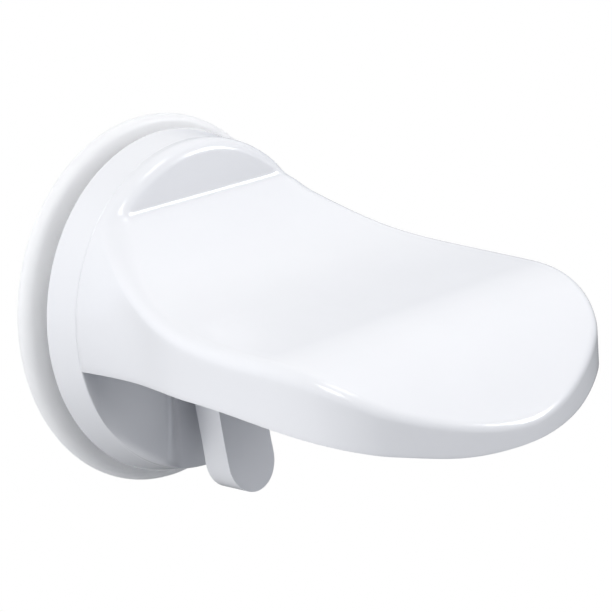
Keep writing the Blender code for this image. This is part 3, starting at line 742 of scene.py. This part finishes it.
def screw_mesh(name, length, material):
    """A pan-head self-tapping screw that points up Z, with thread ridges and a tapered cross in its head."""
    outline = [(-SCREW_HEAD, 0.0)]
    dome_steps = 8
    for step in range(1, dome_steps + 1):
        angle = math.pi / 2.0 * step / dome_steps
        depth = -SCREW_HEAD * (0.45 + 0.55 * math.cos(angle))
        outline.append((depth, SCREW_HEAD_RADIUS * math.sin(angle)))
    outline += [
        (-SCREW_HEAD_RIM, SCREW_HEAD_RADIUS),
        (0.0, SCREW_HEAD_RADIUS - SCREW_HEAD_RIM),
        (0.0, SCREW_RADIUS - 0.25),
    ]
    root = SCREW_RADIUS - THREAD_DEPTH
    turns = int((length - THREAD_END) / THREAD_PITCH)
    for turn in range(turns):
        start = THREAD_START + turn * THREAD_PITCH
        outline += [
            (start, root),
            (start + 0.35 * THREAD_PITCH, SCREW_RADIUS),
            (start + 0.5 * THREAD_PITCH, SCREW_RADIUS),
            (start + 0.8 * THREAD_PITCH, root),
        ]
    outline += [(length - SCREW_POINT, SCREW_RADIUS - 0.4), (length, 0.0)]
    screw = turned(name, outline, SMALL_SIDES, along="Z")
    for x, y in ((CROSS_HALF_LENGTH, CROSS_HALF_WIDTH), (CROSS_HALF_WIDTH, CROSS_HALF_LENGTH)):
        corners = [(-x, -y), (x, -y), (x, y), (-x, y)]
        cut = taper("cross", corners, -SCREW_HEAD - 0.2, -SCREW_HEAD + CROSS_DEPTH, CROSS_TAPER)
        combine(screw, cut, "DIFFERENCE")
    shade(screw, sharp_degrees=30.0, weighted=False)
    screw.data.materials.append(material)
    return screw


def build_screws(material):
    """Every screw at its CAD node's place: four point along X, and eight point up."""
    kinds = (("base_screw", BASE_SCREW_LENGTH, True), ("cover_screw", COVER_SCREW_LENGTH, False))
    for prefix, length, along_x in kinds:
        first = screw_mesh("pan_head_" + prefix, length, material)
        mesh = first.data
        bpy.data.objects.remove(first)
        for index, (node, low, high) in enumerate(screw_places(prefix)):
            screw = bpy.data.objects.new("pan_head_" + node, mesh)
            bpy.context.scene.collection.objects.link(screw)
            middle = 0.5 * (low + high)
            spin = Matrix.Rotation(math.radians(SCREW_TURN * index + FIRST_SCREW_TURN), 4, "Z")
            if along_x:
                place = Vector((low.x + SCREW_HEAD, middle.y, middle.z))
                lean = Matrix.Rotation(math.pi / 2.0, 4, "Y")
            else:
                place = Vector((middle.x, middle.y, low.z + SCREW_HEAD))
                lean = Matrix.Identity(4)
            screw.matrix_world = Matrix.Translation(place * MM) @ lean @ spin
            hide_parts(node)
            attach(screw, "root")


# ---------------------------------------------------------------- base


def cheek(side):
    """One raised cheek of the base: a low dome that rounds over towards the lever and at the base's rim."""
    round_steps = 16
    flat_steps = 22
    row_steps = 34
    flat_start = CHEEK_INNER + CHEEK_ROUND
    ys = [CHEEK_INNER + CHEEK_ROUND * step / round_steps for step in range(round_steps)]
    for step in range(flat_steps + 1):
        ys.append(flat_start + (CHEEK_OUTER - flat_start) * step / flat_steps)
    lean_run = BASE_FRONT_RADIUS - CHEEK_LEAN_START
    outer_radius = BASE_FRONT_RADIUS - CHEEK_RIM_GAP
    front = []
    back = []
    for y in ys:
        low = -math.sqrt(outer_radius**2 - y * y)
        spread = 1.0 - smooth_step((y - CHEEK_FULL) / (CHEEK_FADE - CHEEK_FULL))
        spread *= smooth_step((y - CHEEK_INNER) / CHEEK_ROUND)
        front_row = []
        for step in range(row_steps + 1):
            share = 1.0 - (1.0 - step / row_steps) ** 1.6
            z = CHEEK_TOP + (low - CHEEK_TOP) * share
            lean = 1.0 - CHEEK_LEAN * smooth_step((-z - CHEEK_LEAN_START) / lean_run)
            from_rim = outer_radius - math.hypot(y, z)
            rim = math.sqrt(max(0.0, 1.0 - max(0.0, 1.0 - from_rim / CHEEK_RIM) ** 2))
            height = CHEEK_HEIGHT * spread * lean * rim - CHEEK_SINK
            front_row.append((BASE_FRONT + height, side * y, z))
        front.append(front_row)
        back.append([(BASE_FRONT - CHEEK_ROOT, y_side, z) for _, y_side, z in front_row])
    return slab("cheek", front, back)


def stem_slot(low, high):
    half_width = 0.5 * STEM_WIDTH + GAP
    half_height = 0.5 * STEM_HEIGHT + GAP
    return block("stem_slot", (low, -half_width, -half_height), (high, half_width, half_height))


def build_base(material):
    wall_back = BASE_FRONT - BASE_WALL
    slope = (BASE_BACK_RADIUS - BASE_FRONT_RADIUS) / (BASE_FRONT - BASE_BACK)
    inner_front = BASE_FRONT_RADIUS + slope * BASE_WALL - BASE_WALL
    rib_low = PRESS_RIB_RADIUS - 0.5 * PRESS_RIB_WIDTH
    rib_high = PRESS_RIB_RADIUS + 0.5 * PRESS_RIB_WIDTH
    corners = [
        (BASE_FRONT, 0.0),
        (BASE_FRONT, BASE_FRONT_RADIUS),
        (BASE_BACK, BASE_BACK_RADIUS),
        (BASE_BACK, BASE_BACK_RADIUS - BASE_WALL),
        (wall_back, inner_front),
        (wall_back, rib_high),
        (CUP_BACK + GAP, rib_high),
        (CUP_BACK + GAP, rib_low),
        (wall_back, rib_low),
        (wall_back, BASE_HUB_RADIUS),
        (BASE_HUB_BACK, BASE_HUB_RADIUS),
        (BASE_HUB_BACK, 0.0),
    ]
    base = turned("moulded_base", rounded_outline(corners, BASE_ROUND))
    for side in (-1.0, 1.0):
        combine(base, cheek(side), "UNION")
    half = PLATE_HIGH.y + GAP
    floor = PLATE_LOW.x - GAP
    combine(base, block("recess", (floor, -half, -half), (BASE_FRONT + 5.0, half, half)), "DIFFERENCE")
    combine(base, stem_slot(BASE_HUB_BACK - 2.0, BASE_FRONT + 2.0), "DIFFERENCE")
    for _, low, high in screw_places("base_screw"):
        y, z = 0.5 * (low.y + high.y), 0.5 * (low.z + high.z)
        hole = round_bar(wall_back - 2.0, BASE_FRONT + 2.0, SCREW_RADIUS + GAP)
        combine(base, turned("hole", hole, SMALL_SIDES, (0.0, y, z)), "DIFFERENCE")
    shade(base)
    base.data.materials.append(material)
    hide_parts("base_housing")
    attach(base, "root")


# ---------------------------------------------------------------- cup


def build_cup(material):
    """The soft cup."""
    flange_hole = STUD_FLANGE_RADIUS + GAP
    stem_hole = 0.5 * math.hypot(STEM_WIDTH, STEM_HEIGHT) + GAP
    flange_back = STUD_LOW.x - GAP
    flange_front = STUD_LOW.x + STUD_FLANGE_THICKNESS + GAP
    outline = [(CUP_HOLLOW_DEPTH, 0.0)]
    hollow_steps = 28
    for step in range(1, hollow_steps + 1):
        radius = CUP_FACE_INNER_RADIUS * step / hollow_steps
        fall = smooth_step((radius - CUP_HOLLOW_FLAT) / (CUP_FACE_INNER_RADIUS - CUP_HOLLOW_FLAT))
        outline.append((CUP_HOLLOW_DEPTH * (1.0 - fall), radius))
    outline.append((0.0, CUP_RADIUS - CUP_LIP))
    lip_steps = 22
    for step in range(1, lip_steps + 1):
        angle = math.pi * step / lip_steps - math.pi / 2.0
        outline.append((CUP_LIP * (1.0 + math.sin(angle)), CUP_RADIUS - CUP_LIP * (1.0 - math.cos(angle))))
    outline += CUP_FRONT
    outline += [
        (CUP_HIGH.x, stem_hole),
        (flange_front, stem_hole),
        (flange_front, flange_hole),
        (flange_back, flange_hole),
        (flange_back, 0.0),
    ]
    cup = turned("soft_cup", outline)
    shade(cup, sharp_degrees=50.0, weighted=False)
    cup.data.materials.append(material)
    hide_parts("suction_cup")
    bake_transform(cup)
    for vertex in cup.data.vertices:
        radius = math.hypot(vertex.co.y, vertex.co.z) / MM


# ---------------------------------------------------------------- lever, pin, plate and stud


def lever_side():
    """The lever's side view about its pin: the cam, the lobe's front, the arm's front, and its back."""
    outline = []
    cam_steps = 36
    for step in range(cam_steps + 1):
        angle = math.pi / 2.0 * step / cam_steps
        reach = CAM_REACH - CAM_FALL * angle
        outward = Vector((-math.cos(angle), math.sin(angle)))
        across = Vector((math.sin(angle), math.cos(angle)))
        outline.append(reach * outward - CAM_FALL * across)
    top = outline[-1]
    lobe_steps = 20
    for step in range(1, lobe_steps + 1):
        angle = math.pi / 2.0 * (1.0 - step / lobe_steps)
        x = top.x + (LEVER_LOBE_FRONT - top.x) * math.cos(angle)
        outline.append(Vector((x, LEVER_LOBE_DROP + (top.y - LEVER_LOBE_DROP) * math.sin(angle))))
    outline += curve_through(LEVER_FRONT_KNOTS, 24)[1:]
    outline += curve_through(LEVER_BACK_KNOTS, 24)
    return [(PIN_X + point.x, point.y) for point in outline]


def lever_face():
    """The lever's front view: straight sides a little wider than the arm, and a half-round end."""
    side = LEVER_HALF_WIDTH + 1.0
    outline = [(-side, FAR), (-side, LEVER_END_CENTRE)]
    end_steps = 64
    for step in range(end_steps + 1):
        angle = math.pi + math.pi * step / end_steps
        across = LEVER_HALF_WIDTH * math.cos(angle)
        outline.append((across, LEVER_END_CENTRE + LEVER_HALF_WIDTH * math.sin(angle)))
    return outline + [(side, LEVER_END_CENTRE), (side, FAR)]


def pin_bore():
    """A cutter for the pin's hole, right across the object."""
    outline = round_bar(-FAR, FAR, PIN_RADIUS + GAP)
    return turned("bore", outline, PIN_SIDES, (PIN_X, 0.0, 0.0), "Y")


def build_lever(material):
    half = LEVER_HALF_WIDTH
    lever = prism("moulded_lever", lever_side(), -half, half)
    combine(lever, prism("face", lever_face(), 0.0, FAR, "YZ"), "INTERSECT")
    gap_half = 0.5 * STEM_WIDTH + GAP
    slot = block("slot", (0.0, -gap_half, LEVER_SLOT_BOTTOM), (FAR, gap_half, FAR))
    combine(lever, slot, "DIFFERENCE")
    combine(lever, pin_bore(), "DIFFERENCE")
    round_edges(lever, LEVER_ROUND, limit=40.0, segments=4)
    shade(lever)
    lever.data.materials.append(material)
    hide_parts("lever")
    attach(lever, "lever")


def build_pin(material):
    corners = round_bar(-PIN_HIGH.y, PIN_HIGH.y, PIN_RADIUS)
    outline = rounded_outline(corners, PIN_ROUND)
    pin = turned("turned_pin", outline, PIN_SIDES, (PIN_X, 0.0, 0.0), "Y")
    shade(pin)
    pin.data.materials.append(material)
    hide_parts("lever_pin")
    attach(pin, "stem")


def build_plate(material):
    plate = block("stamped_plate", PLATE_LOW, PLATE_HIGH)
    combine(plate, stem_slot(PLATE_LOW.x - 1.0, PLATE_HIGH.x + 1.0), "DIFFERENCE")
    round_edges(plate, 0.2, segments=2)
    shade(plate)
    plate.data.materials.append(material)
    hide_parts("cam_plate")
    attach(plate, "root")


def build_stud(material):
    back = STUD_LOW.x
    flange = round_bar(back, back + STUD_FLANGE_THICKNESS, STUD_FLANGE_RADIUS)
    stud = turned("moulded_stud", rounded_outline(flange, STUD_ROUND), TURN_SIDES // 2)
    low = (back + 1.0, -0.5 * STEM_WIDTH, -0.5 * STEM_HEIGHT)
    high = (STUD_HIGH.x, 0.5 * STEM_WIDTH, 0.5 * STEM_HEIGHT)
    combine(stud, block("stem", low, high), "UNION")
    combine(stud, pin_bore(), "DIFFERENCE")
    round_edges(stud, 0.3, segments=2)
    shade(stud)
    stud.data.materials.append(material)
    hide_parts("cup_stud")
    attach(stud, "stem")


# ---------------------------------------------------------------- materials

# The part of a noise's range that a colour or a roughness is spread over.
PATTERN_LOW = 0.3
PATTERN_HIGH = 0.7


def node_at(tree, kind, **values):
    """A new node with some of its inputs set by name."""
    node = tree.nodes.new(kind)
    for name, value in values.items():
        node.inputs[name.replace("_", " ")].default_value = value
    return node


def start_material(name, colour, roughness, metallic=0.0):
    """A Principled material with its object coordinates, as (material, tree, shader, coordinates)."""
    material = bpy.data.materials.new(name)
    material.use_nodes = True
    tree = material.node_tree
    shader = tree.nodes["Principled BSDF"]
    shader.inputs["Base Color"].default_value = (*colour, 1.0)
    shader.inputs["Roughness"].default_value = roughness
    shader.inputs["Metallic"].default_value = metallic
    place = tree.nodes.new("ShaderNodeTexCoord").outputs["Object"]
    return material, tree, shader, place


def noise(tree, place, scale, detail=3.0, roughness=0.5):
    node = node_at(tree, "ShaderNodeTexNoise", Scale=scale, Detail=detail, Roughness=roughness)
    tree.links.new(place, node.inputs["Vector"])
    return node.outputs["Fac"]


def vary_roughness(tree, shader, fac, low, high):
    """Runs a shader's roughness from low to high with a pattern."""
    span = tree.nodes.new("ShaderNodeMapRange")
    span.inputs["From Min"].default_value = PATTERN_LOW
    span.inputs["From Max"].default_value = PATTERN_HIGH
    span.inputs["To Min"].default_value = low
    span.inputs["To Max"].default_value = high
    tree.links.new(fac, span.inputs["Value"])
    tree.links.new(span.outputs["Result"], shader.inputs["Roughness"])


def vary_colour(tree, shader, fac, first, second):
    """Runs a shader's colour from one tint to another with a pattern."""
    ramp = tree.nodes.new("ShaderNodeValToRGB")
    ramp.color_ramp.elements[0].position = PATTERN_LOW
    ramp.color_ramp.elements[0].color = (*first, 1.0)
    ramp.color_ramp.elements[1].position = PATTERN_HIGH
    ramp.color_ramp.elements[1].color = (*second, 1.0)
    tree.links.new(fac, ramp.inputs["Fac"])
    tree.links.new(ramp.outputs["Color"], shader.inputs["Base Color"])


def bump(tree, shader, heights):
    """Chains bumps, each a (pattern, strength, depth in metres), into the shader's normal."""
    normal = None
    for fac, strength, depth in heights:
        node = node_at(tree, "ShaderNodeBump", Strength=strength, Distance=depth)
        tree.links.new(fac, node.inputs["Height"])
        if normal:
            tree.links.new(normal, node.inputs["Normal"])
        normal = node.outputs["Normal"]
    tree.links.new(normal, shader.inputs["Normal"])


def gloss_plastic():
    """Polished white ABS: a faint swirl in its colour, a slightly uneven gloss and a fine orange peel."""
    material, tree, shader, place = start_material("gloss_abs", (0.905, 0.91, 0.93), 0.19)
    shader.inputs["Coat Weight"].default_value = 0.5
    shader.inputs["Coat Roughness"].default_value = 0.07
    swirl = noise(tree, place, 28.0, 4.0)
    vary_colour(tree, shader, swirl, (0.895, 0.90, 0.92), (0.91, 0.915, 0.935))
    vary_roughness(tree, shader, noise(tree, place, 60.0, 5.0), 0.16, 0.24)
    waves = noise(tree, place, 260.0, 2.0)
    peel = noise(tree, place, 1900.0, 1.0)
    bump(tree, shader, [(waves, 0.05, 0.0002), (peel, 0.03, 0.0001)])
    return material


def satin_plastic():
    """The cover's satin white plastic, with the fine grain of a spark-eroded mould."""
    material, tree, shader, place = start_material("satin_abs", (0.87, 0.88, 0.91), 0.5)
    vary_colour(tree, shader, noise(tree, place, 24.0, 4.0), (0.85, 0.86, 0.895), (0.88, 0.89, 0.92))
    vary_roughness(tree, shader, noise(tree, place, 90.0, 4.0), 0.42, 0.54)
    bump(tree, shader, [(noise(tree, place, 2600.0, 3.0, 0.7), 0.25, 0.00012)])
    return material


def soft_vinyl():
    """The cup's soft white vinyl: satin and translucent, with a gentle waviness and a fine grain."""
    material, tree, shader, place = start_material("soft_vinyl", (0.98, 0.98, 0.98), 0.34)
    shader.inputs["Subsurface Weight"].default_value = 0.85
    shader.inputs["Subsurface Radius"].default_value = (0.012, 0.012, 0.012)
    shader.inputs["Subsurface Scale"].default_value = 1.0
    cloud = noise(tree, place, 18.0, 3.0)
    vary_colour(tree, shader, cloud, (0.97, 0.973, 0.975), (0.985, 0.987, 0.988))
    vary_roughness(tree, shader, noise(tree, place, 70.0, 4.0), 0.31, 0.42)
    waves = noise(tree, place, 120.0, 2.0)
    grain = noise(tree, place, 2200.0, 2.0)
    bump(tree, shader, [(waves, 0.06, 0.0004), (grain, 0.06, 0.0001)])
    return material


def stud_plastic():
    """The stud's stiff off-white nylon, a little mottled."""
    material, tree, shader, place = start_material("stud_nylon", (0.80, 0.80, 0.78), 0.45)
    vary_colour(tree, shader, noise(tree, place, 90.0, 4.0), (0.76, 0.76, 0.73), (0.82, 0.82, 0.80))
    vary_roughness(tree, shader, noise(tree, place, 200.0, 3.0), 0.38, 0.52)
    bump(tree, shader, [(noise(tree, place, 1500.0, 2.0), 0.12, 0.0001)])
    return material


def metal(name, colour, roughness, stretch):
    """Steel with fine marks that run across the axis whose scale is raised."""
    material, tree, shader, place = start_material(name, colour, roughness, 1.0)
    mapping = tree.nodes.new("ShaderNodeMapping")
    mapping.inputs["Scale"].default_value = stretch
    tree.links.new(place, mapping.inputs["Vector"])
    lines = noise(tree, mapping.outputs["Vector"], 300.0, 3.0)
    darker = tuple(0.82 * part for part in colour)
    vary_colour(tree, shader, noise(tree, place, 400.0, 4.0), darker, colour)
    vary_roughness(tree, shader, lines, roughness - 0.08, roughness + 0.1)
    bump(tree, shader, [(lines, 0.12, 0.00005)])
    return material


# ---------------------------------------------------------------- stage


def seen_and_lit(tree, seen, lit, out):
    """What the camera sees is plain and white, and what lights the object is a soft studio."""
    path = tree.nodes.new("ShaderNodeLightPath")
    mix = tree.nodes.new("ShaderNodeMixShader")
    tree.links.new(path.outputs["Is Camera Ray"], mix.inputs["Fac"])
    tree.links.new(lit, mix.inputs[1])
    tree.links.new(seen, mix.inputs[2])
    tree.links.new(mix.outputs["Shader"], out)


def build_floor():
    """A pale floor, well below the object because the real one hangs on a wall."""
    half = FLOOR_HALF / MM
    low = FLOOR_Z / MM
    corners = [(-half, -half, low), (half, -half, low), (half, half, low), (-half, half, low)]
    floor = add_piece("floor", corners, [[0, 1, 2, 3]])
    material = bpy.data.materials.new("pale_floor")
    material.use_nodes = True
    tree = material.node_tree
    tree.nodes.clear()
    glow = node_at(tree, "ShaderNodeEmission", Color=WHITE, Strength=1.0)
    dim = node_at(tree, "ShaderNodeEmission", Color=FLOOR_TINT, Strength=FLOOR_GLOW)
    out = tree.nodes.new("ShaderNodeOutputMaterial")
    seen_and_lit(tree, glow.outputs["Emission"], dim.outputs["Emission"], out.inputs["Surface"])
    floor.data.materials.append(material)


def build_sky():
    """A soft dome that grows brighter and less blue from the horizon upwards."""
    world = bpy.data.worlds.new("studio")
    bpy.context.scene.world = world
    world.use_nodes = True
    tree = world.node_tree
    tree.nodes.clear()
    way = tree.nodes.new("ShaderNodeTexCoord").outputs["Generated"]
    split = tree.nodes.new("ShaderNodeSeparateXYZ")
    tree.links.new(way, split.inputs["Vector"])
    ramp = tree.nodes.new("ShaderNodeMapRange")
    ramp.inputs["From Min"].default_value = 0.0
    ramp.inputs["From Max"].default_value = 0.8
    ramp.inputs["To Min"].default_value = HORIZON_GLOW
    ramp.inputs["To Max"].default_value = OVERHEAD_GLOW
    tree.links.new(split.outputs["Z"], ramp.inputs["Value"])
    tint = tree.nodes.new("ShaderNodeValToRGB")
    tint.color_ramp.elements[0].position = 0.1
    tint.color_ramp.elements[0].color = HORIZON_TINT
    tint.color_ramp.elements[1].position = 0.6
    tint.color_ramp.elements[1].color = OVERHEAD_TINT
    tree.links.new(split.outputs["Z"], tint.inputs["Fac"])
    dome = tree.nodes.new("ShaderNodeBackground")
    tree.links.new(tint.outputs["Color"], dome.inputs["Color"])
    tree.links.new(ramp.outputs["Result"], dome.inputs["Strength"])
    white = node_at(tree, "ShaderNodeBackground", Color=WHITE, Strength=1.0)
    out = tree.nodes.new("ShaderNodeOutputWorld")
    seen_and_lit(tree, white.outputs["Background"], dome.outputs["Background"], out.inputs["Surface"])


def soft_light(name, place, size, power, mirrored=True):
    """A square light that faces the object, and is mirrored in gloss or not. Lengths are in metres."""
    data = bpy.data.lights.new(name, "AREA")
    data.shape = "SQUARE"
    data.size = size
    data.energy = power
    light = bpy.data.objects.new(name, data)
    light.location = place
    light.visible_glossy = mirrored
    aim = Vector(LIGHT_AIM) - light.location
    light.rotation_euler = aim.to_track_quat("-Z", "Y").to_euler()
    bpy.context.scene.collection.objects.link(light)


def build_lights():
    """Five soft lights. The one behind stands where a wall would be, to shine through the cup."""
    soft_light("overhead", (0.62, 0.35, 1.4), size=0.45, power=1.9)
    soft_light("front", (0.8, -0.55, 1.05), size=0.5, power=3.8)
    soft_light("low_left", (-0.3, -1.4, -0.5), size=1.3, power=13.5, mirrored=False)
    soft_light("far_right", (1.09, 1.16, 0.5), size=0.4, power=5.2)
    soft_light("behind", (-1.4, -0.15, 0.0), size=0.9, power=8.0, mirrored=False)
    bpy.context.scene.view_settings.view_transform = "Standard"


def build_camera():
    """The camera at the photo's angle, from its place and the way it is turned, raised and rolled."""
    data = bpy.data.cameras.new("camera")
    data.sensor_width = 36.0
    data.lens = CAMERA_LENS
    data.clip_start = 0.01
    data.clip_end = 200.0
    camera = bpy.data.objects.new("camera", data)
    turn, rise, roll = (math.radians(angle) for angle in (CAMERA_TURN, CAMERA_RISE, CAMERA_ROLL))
    back = Vector((math.cos(turn) * math.cos(rise), -math.sin(turn) * math.cos(rise), math.sin(rise)))
    right = Vector((math.sin(turn), math.cos(turn), 0.0))
    up = back.cross(right)
    across = math.cos(roll) * right - math.sin(roll) * up
    upward = math.sin(roll) * right + math.cos(roll) * up
    axes = Matrix((across, upward, back)).transposed().to_4x4()
    camera.matrix_world = Matrix.Translation(CAMERA_PLACE) @ axes
    bpy.context.scene.collection.objects.link(camera)
    bpy.context.scene.camera = camera


def main():
    gloss = gloss_plastic()
    satin = satin_plastic()
    steel = metal("brushed_steel", (0.62, 0.62, 0.63), 0.3, (1.0, 12.0, 1.0))
    screw_steel = metal("screw_steel", (0.60, 0.60, 0.61), 0.34, (1.0, 1.0, 8.0))
    build_camera()
    build_shell(gloss)
    build_cover(satin)
    build_screws(screw_steel)
    build_base(gloss)
    build_cup(soft_vinyl())
    build_lever(gloss)
    build_pin(steel)
    build_plate(steel)
    build_stud(stud_plastic())
    build_floor()
    build_sky()
    build_lights()


main()
